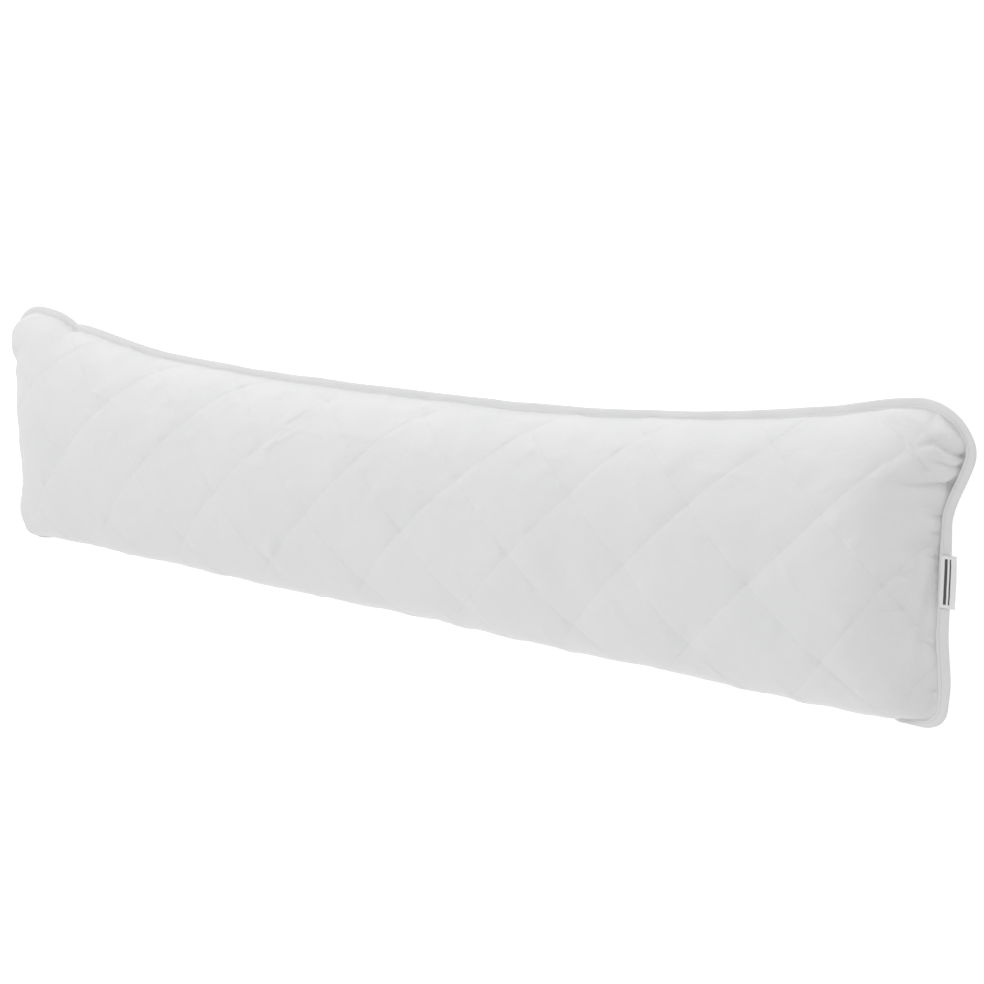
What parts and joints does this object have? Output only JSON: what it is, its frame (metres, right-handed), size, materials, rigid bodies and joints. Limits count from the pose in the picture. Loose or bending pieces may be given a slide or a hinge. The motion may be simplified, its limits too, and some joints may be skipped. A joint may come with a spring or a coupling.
{
  "type": "memory foam bolster pillow",
  "caption": "Long white bolster pillow with crowned faces, a drawn-in long side, diamond quilting, a soft grey edge binding and a small side label.",
  "frame": {"origin": "middle of the underside, on the surface that the pillow lies on", "axes": "+X along the pillow towards the end with the label, +Y across it towards the drawn-in long side, +Z out of its face"},
  "size_m": [1.459, 0.3382, 0.1463],
  "materials": {
    "quilted_cloth": "matte white quilted polycotton",
    "binding_cloth": "light grey ribbed binding tape",
    "label_tape": "smooth woven tape, bare but for two plain stripes"
  },
  "bodies": {
    "root": {"pillow": "quilted_cloth", "edge_binding": "binding_cloth", "side_label": "label_tape"}
  },
  "joints": []
}
